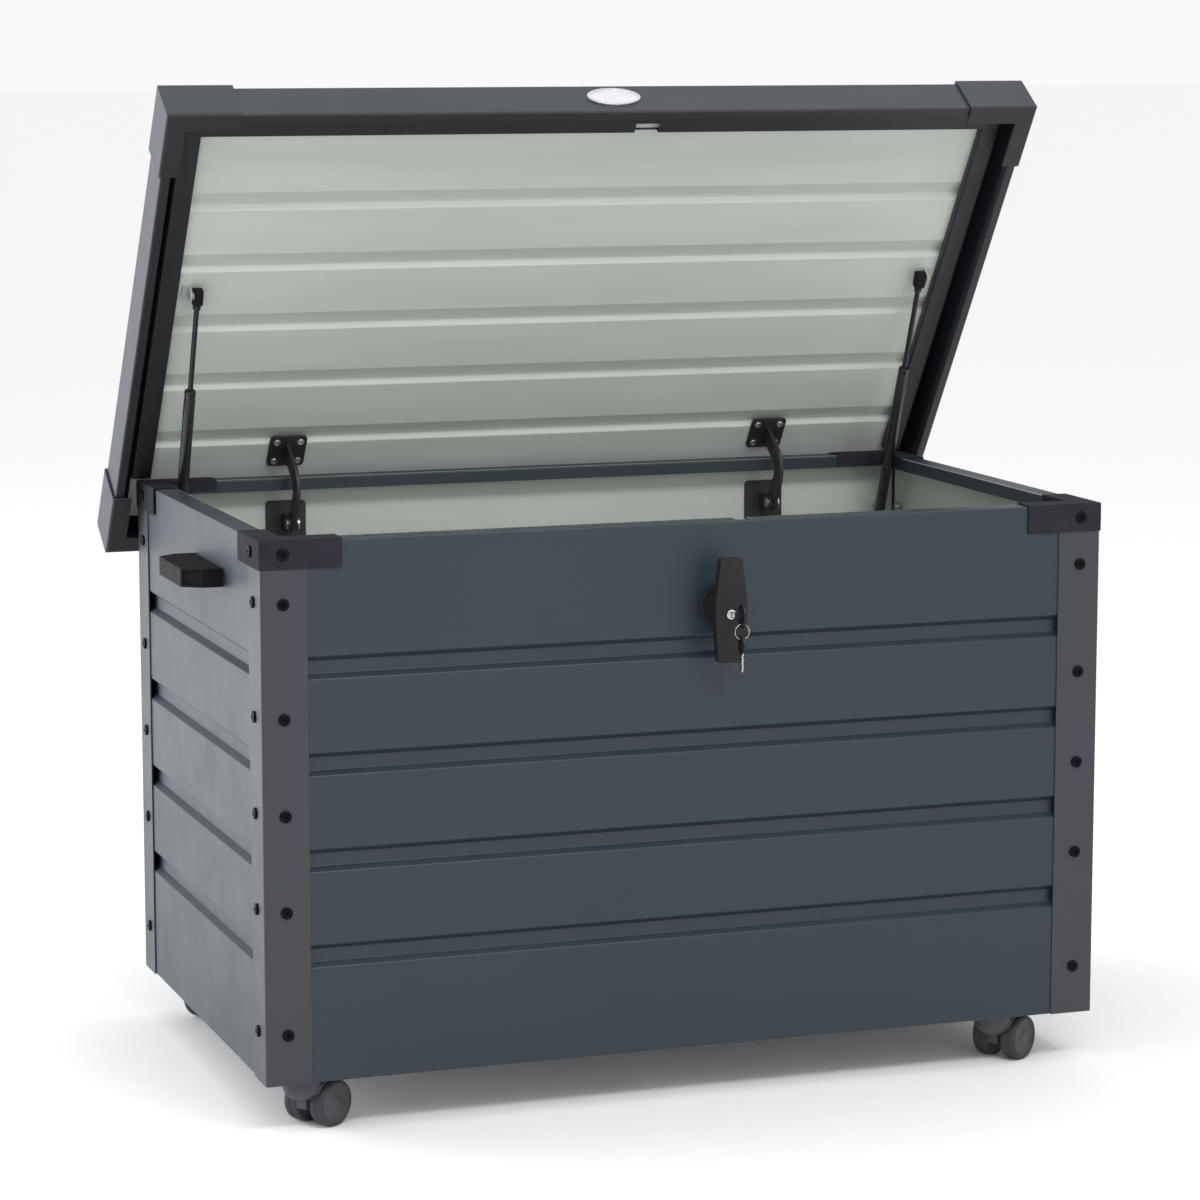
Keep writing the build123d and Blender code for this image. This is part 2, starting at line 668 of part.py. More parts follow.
def lid_caps():
    """Moulded corner covers, which follow the rails' section from the lip to the inner edge."""
    g = LID_CAP_FIT + LID_CAP_WALL / 2
    ledge = LID_PANEL + 10.4 + g
    inner = 58.8 + g
    points = [
        (19.0, -g), (-g, -g), (-g, LID_HEIGHT + g), (16.8, LID_HEIGHT + g),
        (49.1, ledge), (inner, ledge), (inner, LID_PANEL + SHEET + 0.3),
    ]
    section = bent_sheet(points, LID_CAP_WALL, radius=1.8)
    outset = LID_CAP_FIT + LID_CAP_WALL
    for name, (sx, sy) in CORNERS.items():
        cap = None
        for side in ("front" if sy < 0 else "back", "left" if sx < 0 else "right"):
            length = half_length(side, LID_WIDTH, LID_DEPTH)
            arm = along_x(section, -length - 5, length + 5)
            arm = to_lid_side(mitred(arm, side, outset), side)
            arm &= block(
                sorted((sx * (LID_WIDTH / 2 + 5), sx * (LID_WIDTH / 2 - LID_CAP_ARM))),
                sorted((sy * (LID_DEPTH / 2 + 5), sy * (LID_DEPTH / 2 - LID_CAP_ARM))),
                (LID_BOTTOM - 5, LID_BOTTOM + LID_HEIGHT + 5),
            )
            cap = arm if cap is None else cap + arm
        save(f"lid_cap_{name}", opened(cap))


def lid_badge():
    """Blank oval badge on the lid's front face."""
    front = -LID_DEPTH / 2
    badge = along_y(Pos(2.0, LID_BOTTOM + 26.5) * Ellipse(31.0, 15.5), front - 2.5, front)
    badge = fillet(badge.edges().sort_by(Axis.Y)[0], 1.2)
    save("lid_badge", opened(badge))


# ---------------------------------------------------------------- hinges

def hinges():
    arms, screws, brackets, pins = [], [], [], []
    wall_y = BODY_DEPTH / 2 - POST_SHEET - SHEET
    foot_top = LID_BOTTOM + LID_PANEL
    foot_y = HINGE_Y - ARM_REACH
    for x in (-HINGE_X, HINGE_X):
        half = ARM_THICKNESS / 2
        path = FilletPolyline((HINGE_Y, HINGE_Z), (foot_y, HINGE_Z), (foot_y, foot_top - 1), radius=24)
        arm = along_x(trace(path, line_width=ARM_WIDTH), x - half, x + half)
        arm += rod_along_x(HINGE_Y, HINGE_Z, 11.5, x - half, x + half)
        foot = block((x - 22, x + 22), (foot_y - 22, foot_y + 22), (foot_top - 2.5, foot_top))
        arm += fillet(foot.edges().filter_by(Axis.Z), 5.0)
        arm -= rod_along_x(HINGE_Y, HINGE_Z, HINGE_PIN_RADIUS + HINGE_FIT, x - 5, x + 5)
        for dx in (-14, 14):
            for dy in (-14, 14):
                arm -= rod_along_z(x + dx, foot_y + dy, 2.5, foot_top - 5, foot_top + 1)
                screw = pan_screw(2.5, head_radius=4.4, head_height=2.2, radius=2.5)
                screws.append(Pos(x + dx, foot_y + dy, foot_top - 2.5) * Rot(90, 0, 0) * screw)
        arms.append(arm)
        ear = block((x - 5.4, x + 5.4), (HINGE_Y, wall_y - 1), (HINGE_Z - 9, HINGE_Z + 9))
        ear += rod_along_x(HINGE_Y, HINGE_Z, 9.0, x - 5.4, x + 5.4)
        ear -= block((x - 2.4, x + 2.4), (HINGE_Y - 20, wall_y - 8), (HINGE_Z - 20, HINGE_Z + 20))
        plate = block((x - 24, x + 24), (wall_y - 2.5, wall_y), (HINGE_Z - 24, HINGE_Z + 24))
        bracket = ear + fillet(plate.edges().filter_by(Axis.Y), 5.0)
        bracket -= rod_along_x(HINGE_Y, HINGE_Z, HINGE_PIN_RADIUS, x - 10, x + 10)
        brackets.append(bracket)
        pin = rod_along_x(HINGE_Y, HINGE_Z, HINGE_PIN_RADIUS, x - 7.0, x + 5.4)
        pin += rod_along_x(HINGE_Y, HINGE_Z, 6.5, x + 5.4, x + 8.0)
        pin += rod_along_x(HINGE_Y, HINGE_Z, 6.0, x - 7.0, x - 5.4)
        pins.append(pin)
    save("hinge_arms", *[opened(arm) for arm in arms])
    save("hinge_brackets", *brackets)
    save("hinge_pins", *pins)
    save("lid_screws", *[opened(screw) for screw in screws])


# ---------------------------------------------------------------- gas struts

def lid_point(from_rear, height):
    """World (y, z) of a point of the open lid, from its closed place in the lid."""
    y = LID_DEPTH / 2 - from_rear - HINGE_Y
    z = LID_BOTTOM + height - HINGE_Z
    a = math.radians(LID_OPEN_ANGLE)
    return HINGE_Y + y * math.cos(a) + z * math.sin(a), HINGE_Z - y * math.sin(a) + z * math.cos(a)


def struts():
    """Cylinders on the body's balls, rods with their upper fittings, and both brackets."""
    upper_y, upper_z = lid_point(*STRUT_UPPER)
    lower_y, lower_z = STRUT_LOWER
    length = math.hypot(upper_y - lower_y, upper_z - lower_z)
    tilt = math.degrees(math.atan2(lower_y - upper_y, upper_z - lower_z))
    # local frame: z from the lower ball to the upper one, x across the box
    place = Pos(STRUT_X, lower_y, lower_z) * Rot(tilt, 0, 0)
    cylinder_top = length - STRUT_EXPOSED_ROD - STRUT_FITTING
    eye = STRUT_EYE_WIDTH / 2
    half = STRUT_FITTING_WIDTH / 2

    tube = rod_along_z(0, 0, STRUT_CYLINDER_RADIUS, 14, cylinder_top)
    tube = fillet(tube.edges().filter_by(GeomType.CIRCLE), 1.2)
    tube += rod_along_z(0, 0, 3.5, 8, 15)
    tube += fillet(block((-eye, eye), (-7, 7), (-9, 10)).edges().filter_by(Axis.X), 5.0)
    tube -= rod_along_z(0, 0, STRUT_ROD_RADIUS + 0.06, 40, cylinder_top + 1)
    tube -= Sphere(BALL_RADIUS + HINGE_FIT)
    tube -= rod_along_x(0, 0, BALL_RADIUS - 0.6, 0, eye + 1)

    fitting = block((-half, half), (-6.5, 6.5), (length - 11, length + 8.5))
    fitting = fillet(fitting.edges().filter_by(Axis.X), 4.0)
    fitting = fillet(fitting.edges().filter_by(Axis.Y), 1.5)
    stud = rod_along_x(0, length, 3.5, half - 1, half + 1.6)
    stud += rod_along_x(0, length, 5.0, half, half + 1.0)
    rod = rod_along_z(0, 0, STRUT_ROD_RADIUS, 150, length - 10) + fitting + stud

    tubes = mirrored_pair(place * tube)
    rods = mirrored_pair(place * rod)
    for i, name in enumerate(("right", "left")):
        save(f"strut_cylinder_{name}", tubes[i])
        save(f"strut_rod_{name}", rods[i])

    wall_x = BODY_WIDTH / 2 - POST_SHEET - SHEET
    lower = block((wall_x - 3, wall_x), (lower_y - 18, lower_y + 16), (lower_z - 6, lower_z + 34))
    lower = fillet(lower.edges().filter_by(Axis.X), 5.0)
    boss_x = STRUT_X + 8.5
    boss = Cone(5.0, 9.0, wall_x - 3 - boss_x)
    lower += Pos((wall_x - 3 + boss_x) / 2, lower_y, lower_z) * Rot(0, 90, 0) * boss
    lower += rod_along_x(lower_y, lower_z, 3.2, STRUT_X, wall_x - 5)
    lower += Pos(STRUT_X, lower_y, lower_z) * Sphere(BALL_RADIUS)
    save("strut_lower_brackets", *mirrored_pair(lower))

    # small angle bracket welded under the lid panel, clear of the body's rim when closed
    tab_x = STRUT_X + half + 1.9
    y = LID_DEPTH / 2 - STRUT_UPPER[0]
    top = LID_BOTTOM + LID_PANEL
    upper = block((tab_x, tab_x + 2.5), (y - 7, y + 7), (top - 16, top))
    upper = fillet(upper.edges().filter_by(Axis.X).sort_by(Axis.Z)[0:2], 6.0)
    upper += block((tab_x, tab_x + 9), (y - 7, y + 7), (top - 2, top))
    save("strut_upper_brackets", *[opened(piece) for piece in mirrored_pair(upper)])


# ---------------------------------------------------------------- lock

def lock():
    front = -BODY_DEPTH / 2 + POST_SHEET
    x, z = LOCK_X, LOCK_Z
    flange = rod_along_y(x, z, 20.5, front - 4.0, front)
    flange = fillet(flange.edges().sort_by(Axis.Y)[0], 1.5)
    bush = flange + rod_along_y(x, z, 10.0, front - 1, LATCH_FRONT_Y - 2.0)
    bush -= rod_along_y(x, z, SHAFT_RADIUS + HINGE_FIT, front - 10, LATCH_FRONT_Y + 5)
    save("lock_escutcheon", bush)

    half = HANDLE_LENGTH / 2
    outline = polygon(
        (-14.5, -half), (14.5, -half), (17.5, -14), (17.5, 10),
        (12.0, half), (-12.0, half), (-17.5, 10), (-17.5, -14),
    )
    outline = fillet(outline.vertices(), 3.0)
    bar_back = HANDLE_FACE_Y + HANDLE_THICKNESS
    bar = along_y(Pos(x, z) * outline, HANDLE_FACE_Y, bar_back)
    bar = chamfer(bar.faces().sort_by(Axis.Y)[0].edges(), 1.5)
    neck_end = front - 4.2
    neck = Pos(x, (bar_back + neck_end) / 2, z) * Rot(90, 0, 0) * Cone(13.0, 16.0, neck_end - bar_back)
    handle = bar + neck + rod_along_y(x, z, SHAFT_RADIUS, bar_back - 0.5, LATCH_FRONT_Y)
    handle += rod_along_y(x, z, 5.0, LATCH_FRONT_Y - 1, LATCH_FRONT_Y + LATCH_THICKNESS + 5)
    plug_z = z - PLUG_DROP
    handle -= rod_along_y(x, plug_z, PLUG_RADIUS + HINGE_FIT, HANDLE_FACE_Y - 1, bar_back - 0.5)
    save("t_handle", handle)

    arm_y = (LATCH_FRONT_Y, LATCH_FRONT_Y + LATCH_THICKNESS)
    arm = block((x, x + LATCH_RADIUS + 2), arm_y, (z - 7, z + 7))
    arm += rod_along_y(x, z, 13.0, *arm_y)
    lug_x = (x + LATCH_RADIUS - 2, x + LATCH_RADIUS + 2)
    arm += block(lug_x, (LATCH_LUG_Y, arm_y[1]), (z - 7, z + 7))
    arm -= rod_along_y(x, z, 5.0, -300, -200)
    nut = Pos(x, 0, z) * hex_nut(16.0, 4.5, 5.0, arm_y[1])
    save("latch_arm", arm, nut)

    plug = rod_along_y(x, plug_z, PLUG_RADIUS, HANDLE_FACE_Y - 1.2, bar_back - 1.2)
    plug = fillet(plug.edges().sort_by(Axis.Y)[0], 0.6)
    save("key", plug + key(x, plug_z))

    hole_z = plug_z + 2.5 - 8.5
    ring_z = hole_z - RING_RADIUS
    ring = Pos(x, KEY_HEAD_Y, ring_z) * Rot(90, 0, 0) * Torus(RING_RADIUS, RING_WIRE)
    save("key_ring", ring)
    save("spare_key", spare_key(x, ring_z - RING_RADIUS))


def key_head(height, depth):
    """Plastic key head in the (y, z) plane, centred on the origin, with a ring hole."""
    outline = Ellipse(depth / 2, height / 2)
    return along_x(outline, -1.4, 1.4)


def key(x, z):
    """The key in the lock: a blade out of the cylinder and a head on edge."""
    head = key_head(25.0, 20.0) - rod_along_x(0, -8.5, 2.4, -5, 5)
    blade = block((x - 1, x + 1), (KEY_HEAD_Y + 6, HANDLE_FACE_Y - 0.5), (z - 3.8, z + 3.8))
    return Pos(x, KEY_HEAD_Y, z + 2.5) * head + blade


def spare_key(x, hook_z):
    """The second key, hanging from the ring by the hole in its head."""
    head = key_head(19.0, 17.0) - rod_along_x(0, 6.0, 2.2, -5, 5)
    outline = [(-3.5, -8), (3.5, -8), (3.5, -27), (0.5, -30), (-2.2, -28)]
    for step in range(4):
        bottom = -25 + step * 4
        outline += [(-1.6, bottom), (-3.5, bottom + 2)]
    blade = along_x(polygon(*outline), -1, 1)
    return Pos(x, KEY_HEAD_Y, hook_z - 6.0) * (head + blade)


# ---------------------------------------------------------------- the box

def build():
    os.makedirs("parts", exist_ok=True)
    walls()
    posts()
    body_caps()
    body_screws()
    base_frame()
    floor_panel()
    side_handles()
    caster_plates()
    caster_housings_and_wheels()
    lid_rails()
    lid_panel()
    lid_caps()
    lid_badge()
    hinges()
    struts()
    lock()


build()
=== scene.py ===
"""Looks of the deck storage box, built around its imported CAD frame."""
import bmesh
import bpy
import json
import math
from mathutils import Matrix, Vector
from mathutils.geometry import tessellate_polygon


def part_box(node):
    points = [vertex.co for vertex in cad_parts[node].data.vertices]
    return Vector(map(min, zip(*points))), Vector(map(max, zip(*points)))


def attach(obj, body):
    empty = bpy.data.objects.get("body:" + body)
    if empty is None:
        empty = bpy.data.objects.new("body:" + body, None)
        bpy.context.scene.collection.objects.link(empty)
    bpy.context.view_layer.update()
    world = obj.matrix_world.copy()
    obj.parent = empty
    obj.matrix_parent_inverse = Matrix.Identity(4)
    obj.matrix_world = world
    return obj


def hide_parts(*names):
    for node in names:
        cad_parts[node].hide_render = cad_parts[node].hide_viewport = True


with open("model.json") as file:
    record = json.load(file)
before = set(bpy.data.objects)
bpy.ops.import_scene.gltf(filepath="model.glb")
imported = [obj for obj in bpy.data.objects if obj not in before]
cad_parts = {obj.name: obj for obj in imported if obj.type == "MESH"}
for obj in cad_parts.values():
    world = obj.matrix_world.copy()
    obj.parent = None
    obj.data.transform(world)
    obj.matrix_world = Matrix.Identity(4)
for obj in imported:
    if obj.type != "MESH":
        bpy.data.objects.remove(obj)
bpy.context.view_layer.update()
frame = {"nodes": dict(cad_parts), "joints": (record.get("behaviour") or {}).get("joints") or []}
NODES = frame["nodes"]
CORNERS = ("front_left", "front_right", "rear_left", "rear_right")
JOINTS = {joint["name"]: joint for joint in frame["joints"]}

MM = 0.001
LID_OPEN = math.radians(55.724)     # angle of the lid at rest from closed
LIP_X, LIP_Y = 0.4495, 0.2555       # how far in the turned-in lips of the walls reach
WALL_OUT, WALL_UP = 0.89, 0.45      # a wall's outside faces out and up
AMBIENT = 0.6                       # share of the backdrop's brightness that lights the box
WHEEL_HALF_WIDTH = 9.5
STRUT_LENGTH = 359.143              # between ball centres with the lid open
STRUT_TUBE_TOP = 242.943
SHARP_EDGE = math.radians(38)       # steeper edges than this are shaded sharp


# ---------------------------------------------------------------- camera, light, floor

def make_camera():
    data = bpy.data.cameras.new("camera")
    data.lens = 115.74
    data.sensor_width = 36.0
    data.clip_end = 200.0
    camera = bpy.data.objects.new("camera", data)
    camera.location = (-1.4427, -4.0617, 1.15163)
    camera.rotation_euler = (math.radians(90 - 8.535), 0, math.radians(-19.449))
    bpy.context.scene.collection.objects.link(camera)
    bpy.context.scene.camera = camera


def area_light(name, place, target, size, power, colour=(1, 1, 1)):
    data = bpy.data.lights.new(name, "AREA")
    data.shape = "RECTANGLE"
    data.size, data.size_y = size
    data.energy = power
    data.color = colour
    light = bpy.data.objects.new(name, data)
    light.location = place
    light.visible_camera = False
    light.rotation_euler = (Vector(target) - Vector(place)).to_track_quat("-Z", "Y").to_euler()
    bpy.context.scene.collection.objects.link(light)


def make_world():
    """A pale backdrop that lights the box less than it shows."""
    world = bpy.data.worlds.new("studio")
    world.use_nodes = True
    background = world.node_tree.nodes["Background"]
    background.inputs["Color"].default_value = (0.945, 0.945, 0.945, 1)
    path = world.node_tree.nodes.new("ShaderNodeLightPath")
    strength = world.node_tree.nodes.new("ShaderNodeMapRange")
    strength.inputs["To Min"].default_value = AMBIENT
    world.node_tree.links.new(path.outputs["Is Camera Ray"], strength.inputs["Value"])
    world.node_tree.links.new(strength.outputs["Result"], background.inputs["Strength"])
    bpy.context.scene.world = world
    bpy.context.scene.view_settings.view_transform = "Standard"


def make_lights():
    area_light("key", (1.2, -5.0, 1.5), (0.1, -0.2, 0.8), (1.4, 1.2), 15)
    area_light("left", (-3.6, 2.2, 1.2), (-0.5, 0, 0.4), (3.0, 2.4), 140, (0.92, 0.94, 1.0))
    area_light("lid_top", (0.2, -2.7, 3.15), (0, 0.1, 0.85), (2.0, 0.7), 52)
    # light thrown back up by what lies in the box
    area_light("bounce", (0, -0.02, 0.6), (0, 0.22, 1.5), (0.8, 0.42), 0.26)
    data = bpy.data.lights.new("sky", "SUN")
    data.energy = 1.3
    data.angle = math.radians(120)
    bpy.context.scene.collection.objects.link(bpy.data.objects.new("sky", data))


# ---------------------------------------------------------------- materials

class Shader:
    """A principled material with small helpers for its procedural inputs."""

    def __init__(self, name, **sockets):
        self.material = bpy.data.materials.new(name)
        self.material.use_nodes = True
        self.tree = self.material.node_tree
        self.bsdf = self.tree.nodes["Principled BSDF"]
        for key, value in sockets.items():
            self.bsdf.inputs[key.replace("_", " ")].default_value = value
        self.coords = self.node("ShaderNodeTexCoord")

    def node(self, kind, **props):
        made = self.tree.nodes.new(kind)
        for key, value in props.items():
            setattr(made, key, value)
        return made

    def link(self, source, target):
        self.tree.links.new(source, target)

    def noise(self, scale, detail, roughness, stretch=None):
        made = self.node("ShaderNodeTexNoise")
        made.inputs["Scale"].default_value = scale
        made.inputs["Detail"].default_value = detail
        made.inputs["Roughness"].default_value = roughness
        source = self.coords.outputs["Object"]
        if stretch:
            mapping = self.node("ShaderNodeMapping")
            mapping.inputs["Scale"].default_value = stretch
            self.link(source, mapping.inputs["Vector"])
            source = mapping.outputs["Vector"]
        self.link(source, made.inputs["Vector"])
        return made.outputs["Fac"]

    def remap(self, value, low, high, to_low=0.0, to_high=1.0):
        made = self.node("ShaderNodeMapRange")
        for key, number in (("From Min", low), ("From Max", high), ("To Min", to_low), ("To Max", to_high)):
            made.inputs[key].default_value = number
        self.link(value, made.inputs["Value"])
        return made.outputs["Result"]

    def math(self, operation, first, second):
        made = self.node("ShaderNodeMath", operation=operation)
        for socket, value in zip(made.inputs, (first, second)):
            if isinstance(value, (int, float)):
                socket.default_value = value
            else:
                self.link(value, socket)
        return made.outputs["Value"]

    def dot(self, first, second):
        made = self.node("ShaderNodeVectorMath", operation="DOT_PRODUCT")
        for socket, value in zip(made.inputs, (first, second)):
            if isinstance(value, tuple):
                socket.default_value = value
            else:
                self.link(value, socket)
        return made.outputs["Value"]

    def mix(self, factor, first, second):
        made = self.node("ShaderNodeMix", data_type="RGBA")
        self.link(factor, made.inputs["Factor"])
        for socket, value in ((made.inputs[6], first), (made.inputs[7], second)):
            if isinstance(value, tuple):
                socket.default_value = (*value, 1)
            else:
                self.link(value, socket)
        return made.outputs[2]

    def colour(self, value):
        self.link(value, self.bsdf.inputs["Base Color"])

    def roughness(self, value):
        self.link(value, self.bsdf.inputs["Roughness"])

    def edge(self, radius):
        """Rounded shading normal, and a mask that is 1 along the edges."""
        bevel = self.node("ShaderNodeBevel", samples=4)
        bevel.inputs["Radius"].default_value = radius
        geometry = self.node("ShaderNodeNewGeometry")
        flatness = self.dot(bevel.outputs["Normal"], geometry.outputs["Normal"])
        return bevel.outputs["Normal"], self.remap(flatness, 0.98, 0.75)

    def bump(self, layers, normal=None):
        """Stack (height, strength, distance) bumps on a base normal."""
        for height, strength, distance in layers:
            made = self.node("ShaderNodeBump")
            made.inputs["Strength"].default_value = strength
            made.inputs["Distance"].default_value = distance
            self.link(height, made.inputs["Height"])
            if normal is not None:
                self.link(normal, made.inputs["Normal"])
            normal = made.outputs["Normal"]
        self.link(normal, self.bsdf.inputs["Normal"])


def scaled(colour, factor):
    return tuple(channel * factor for channel in colour)


def powder_coat(name, colour, backer_and_shade=None, outward=None, lip=None, rough=0.42, specular=0.5):
    """Satin powder coat on steel: fine orange peel, faint mottling and worn edges.

    The third argument gives the colour used where the normal points against outward: the sheet's pale backer
    coat on the walls and lid panel, painted shade on the lid rails and caps.
    lip is (axis, reach) of a turned-in edge nearer the middle, whose sides are swapped.
    """
    shader = Shader(name, Specular_IOR_Level=specular)
    normal, edges = shader.edge(0.0009)
    mottle = shader.noise(3.5, 5.0, 0.6)
    streak = shader.noise(9.0, 3.0, 0.5, stretch=(0.6, 0.6, 4.0))
    base = shader.mix(shader.remap(mottle, 0.3, 0.7), scaled(colour, 0.93), scaled(colour, 1.07))
    if backer_and_shade:
        # back is the sheet's pale backer coat on the walls and lid panel, and painted shade on the lid rails
        # and caps.
        back = shader.mix(shader.remap(streak, 0.3, 0.7), scaled(backer_and_shade, 0.96), scaled(backer_and_shade, 1.04))
        side = shader.dot(shader.coords.outputs["Normal"], outward)
        if lip:
            axis, reach = lip
            place = shader.node("ShaderNodeSeparateXYZ")
            shader.link(shader.coords.outputs["Object"], place.inputs[0])
            distance = shader.math("ABSOLUTE", place.outputs[axis], 0)
            turned = shader.remap(shader.math("LESS_THAN", distance, reach), 0, 1, 1, -1)
            side = shader.math("MULTIPLY", side, turned)
        base = shader.mix(shader.remap(side, -0.02, 0.02, 1, 0), base, back)
    wear = shader.math("MULTIPLY", edges, shader.remap(shader.noise(60, 6, 0.7), 0.42, 0.72, 0.0, 0.55))
    worn = scaled(backer_and_shade, 0.9) if backer_and_shade and max(backer_and_shade) > 0.1 else scaled(colour, 2.0)
    shader.colour(shader.mix(wear, base, worn))
    shader.roughness(shader.remap(shader.noise(14, 6, 0.65), 0.3, 0.7, rough - 0.05, rough + 0.07))
    peel = shader.noise(950, 2, 0.5)
    waves = shader.noise(30, 2, 0.4)
    shader.bump([(waves, 0.12, 0.0002), (peel, 0.22, 0.0001)], normal)
    return shader.material


def plain_metal(name, colour, rough=0.3, brush=(1, 1, 1), metallic=1.0):
    """Bare or plated metal with fine brushing, tarnish and brighter edges."""
    shader = Shader(name, Metallic=metallic)
    normal, edges = shader.edge(0.0005)
    tarnish = shader.remap(shader.noise(45, 6, 0.7), 0.35, 0.7)
    base = shader.mix(tarnish, colour, scaled(colour, 0.78))
    shader.colour(shader.mix(shader.math("MULTIPLY", edges, 0.5), base, scaled(colour, 1.15)))
    brushed = shader.noise(900, 3, 0.6, stretch=brush)
    shader.roughness(shader.remap(brushed, 0.3, 0.7, rough * 0.75, rough * 1.3))
    shader.bump([(brushed, 0.15, 0.00005)], normal)
    return shader.material


def moulded_plastic(name, colour, rough=0.5, grain=600, depth=0.0002, specular=0.35):
    """Moulded plastic: spark-eroded grain, slight haze, rubbed edges."""
    shader = Shader(name, Specular_IOR_Level=specular)
    normal, edges = shader.edge(0.0008)
    haze = shader.remap(shader.noise(35, 5, 0.6), 0.3, 0.7)
    base = shader.mix(haze, scaled(colour, 0.88), scaled(colour, 1.15))
    shader.colour(shader.mix(shader.math("MULTIPLY", edges, 0.35), base, scaled(colour, 1.9)))
    grains = shader.noise(grain, 3, 0.6)
    shader.roughness(shader.remap(grains, 0.3, 0.7, rough - 0.06, rough + 0.08))
    shader.bump([(grains, 0.3, depth)], normal)
    return shader.material


SLATE = (0.012, 0.0245, 0.035)
POST_GREY = (0.028, 0.032, 0.039)
CAP_GREY = (0.025, 0.026, 0.032)
LID_GREY = (0.052, 0.063, 0.081)
# Painted shade: the inner faces of the lid rails and lid caps, which face down when the lid stands open, are
# painted near black; their outer faces take LID_GREY.
LID_INNER_FACE_SHADE = (0.009, 0.009, 0.012)
BACKER = (0.52, 0.555, 0.515)
BLACK = (0.011, 0.011, 0.012)
OPEN_LID_UP = (0.0, math.sin(LID_OPEN), math.cos(LID_OPEN))


def make_materials():
    return {
        "front": powder_coat("coat_front", SLATE, BACKER, (0, -WALL_OUT, WALL_UP), (1, LIP_Y)),
        "back": powder_coat("coat_back", SLATE, BACKER, (0, WALL_OUT, WALL_UP), (1, LIP_Y)),
        "left": powder_coat("coat_left", SLATE, BACKER, (-WALL_OUT, 0, WALL_UP), (0, LIP_X)),
        "right": powder_coat("coat_right", SLATE, BACKER, (WALL_OUT, 0, WALL_UP), (0, LIP_X)),
        "lid": powder_coat("coat_lid", SLATE, BACKER, OPEN_LID_UP),
        "post": powder_coat("coat_post", POST_GREY),
        "cap": moulded_plastic("cap_plastic", CAP_GREY, 0.62, 500, specular=0.04),
        # The lid caps and rails take painted shade on their inner faces, the ones facing down under the open
        # lid.
        "lid_cap": powder_coat("lid_cap_plastic", LID_GREY, LID_INNER_FACE_SHADE, OPEN_LID_UP, rough=0.5),
        "pale": powder_coat("coat_pale", scaled(BACKER, 0.75), specular=0.2),
        "rail": powder_coat("coat_rail", LID_GREY, LID_INNER_FACE_SHADE, OPEN_LID_UP, rough=0.45),
        "bracket": powder_coat("coat_bracket", (0.02, 0.02, 0.022), rough=0.5),
        "black_screw": moulded_plastic("black_screws", (0.006, 0.006, 0.007), 0.3, 900, 0.00005, 0.05),
        "zinc": plain_metal("zinc_plate", (0.62, 0.62, 0.6), 0.32),
        "galvanised": plain_metal("galvanised", (0.55, 0.56, 0.57), 0.45),
        "chrome": plain_metal("chrome", (0.8, 0.8, 0.8), 0.1),
        "nickel": plain_metal("nickel", (0.66, 0.64, 0.6), 0.2),
        "strut_rod": plain_metal("nitrided_rod", (0.02, 0.02, 0.023), 0.2, brush=(1, 1, 0.05), metallic=0.3),
        "enamel": moulded_plastic("badge_enamel", (0.62, 0.63, 0.65), 0.3, 90, 0.00005),
        "badge": plain_metal("satin_badge", (0.7, 0.72, 0.74), 0.25, brush=(0.05, 1, 1)),
        "strut_black": plain_metal("strut_paint", (0.012, 0.012, 0.013), 0.25, metallic=0.0),
        "black_plastic": moulded_plastic("black_plastic", BLACK, 0.55, specular=0.06),
        "handle_black": moulded_plastic("handle_cast", (0.018, 0.017, 0.020), 0.5, 420, specular=0.18),
        "key_black": moulded_plastic("key_plastic", (0.008, 0.008, 0.009), 0.35, 800),
        "caster_grey": moulded_plastic("caster_nylon", (0.058, 0.058, 0.066), 0.5, 700),
        "tread": moulded_plastic("caster_tread", (0.040, 0.040, 0.046), 0.6, 500),
    }


def paint_node(name, material):
    data = NODES[name].data
    data.materials.clear()
    data.materials.append(material)


def paint_cad(m):
    plan = {
        "front_panel": "front", "back_panel": "back", "left_panel": "left", "right_panel": "right",
        "lid_panel": "lid", "base_frame": "galvanised", "floor_panel": "galvanised",
        "panel_screws": "black_screw", "inside_nuts": "zinc", "handle_screws": "zinc", "lid_screws": "zinc",
        "caster_plates": "zinc", "caster_bolts": "zinc", "hinge_pins": "zinc",
        "hinge_arms": "bracket", "hinge_brackets": "bracket",
        "strut_upper_brackets": "pale", "strut_lower_brackets": "bracket",
        "side_handle_left": "black_plastic", "side_handle_right": "black_plastic",
        "t_handle": "handle_black", "lock_escutcheon": "handle_black", "latch_arm": "zinc",
        "key": "key_black", "spare_key": "key_black", "key_ring": "chrome", "lid_badge": "badge",
        "strut_cylinder_left": "strut_black", "strut_cylinder_right": "strut_black",
        "strut_rod_left": "strut_rod", "strut_rod_right": "strut_rod",
    }
    for side in ("front", "rear", "left", "right"):
        plan[f"lid_rail_{side}"] = "rail"
    for corner in CORNERS:
        plan[f"post_{corner}"] = "post"
        plan[f"corner_cap_{corner}"] = "cap"
        plan[f"lid_cap_{corner}"] = "lid_cap"
        plan[f"caster_{corner}_housing"] = "caster_grey"
        for letter in "ab":
            plan[f"caster_{corner}_wheel_{letter}"] = "caster_grey"
    for node, key in plan.items():
        paint_node(node, m[key])


# ---------------------------------------------------------------- mesh building

def facing(axis, spin=(0, 0, 1)):
    """Rotation that turns local z to an axis, with local y as near to spin as it can be."""
    z = Vector(axis).normalized()
    y = Vector(spin) - z * z.dot(Vector(spin))
    if y.length < 1e-6:
        y = Vector((0, 1, 0)) - z * z.y
    y.normalize()
    return Matrix((y.cross(z), y, z)).transposed().to_4x4()


def at(place, rotation=None):
    move = Matrix.Translation(Vector(place))
    return move @ rotation if rotation else move


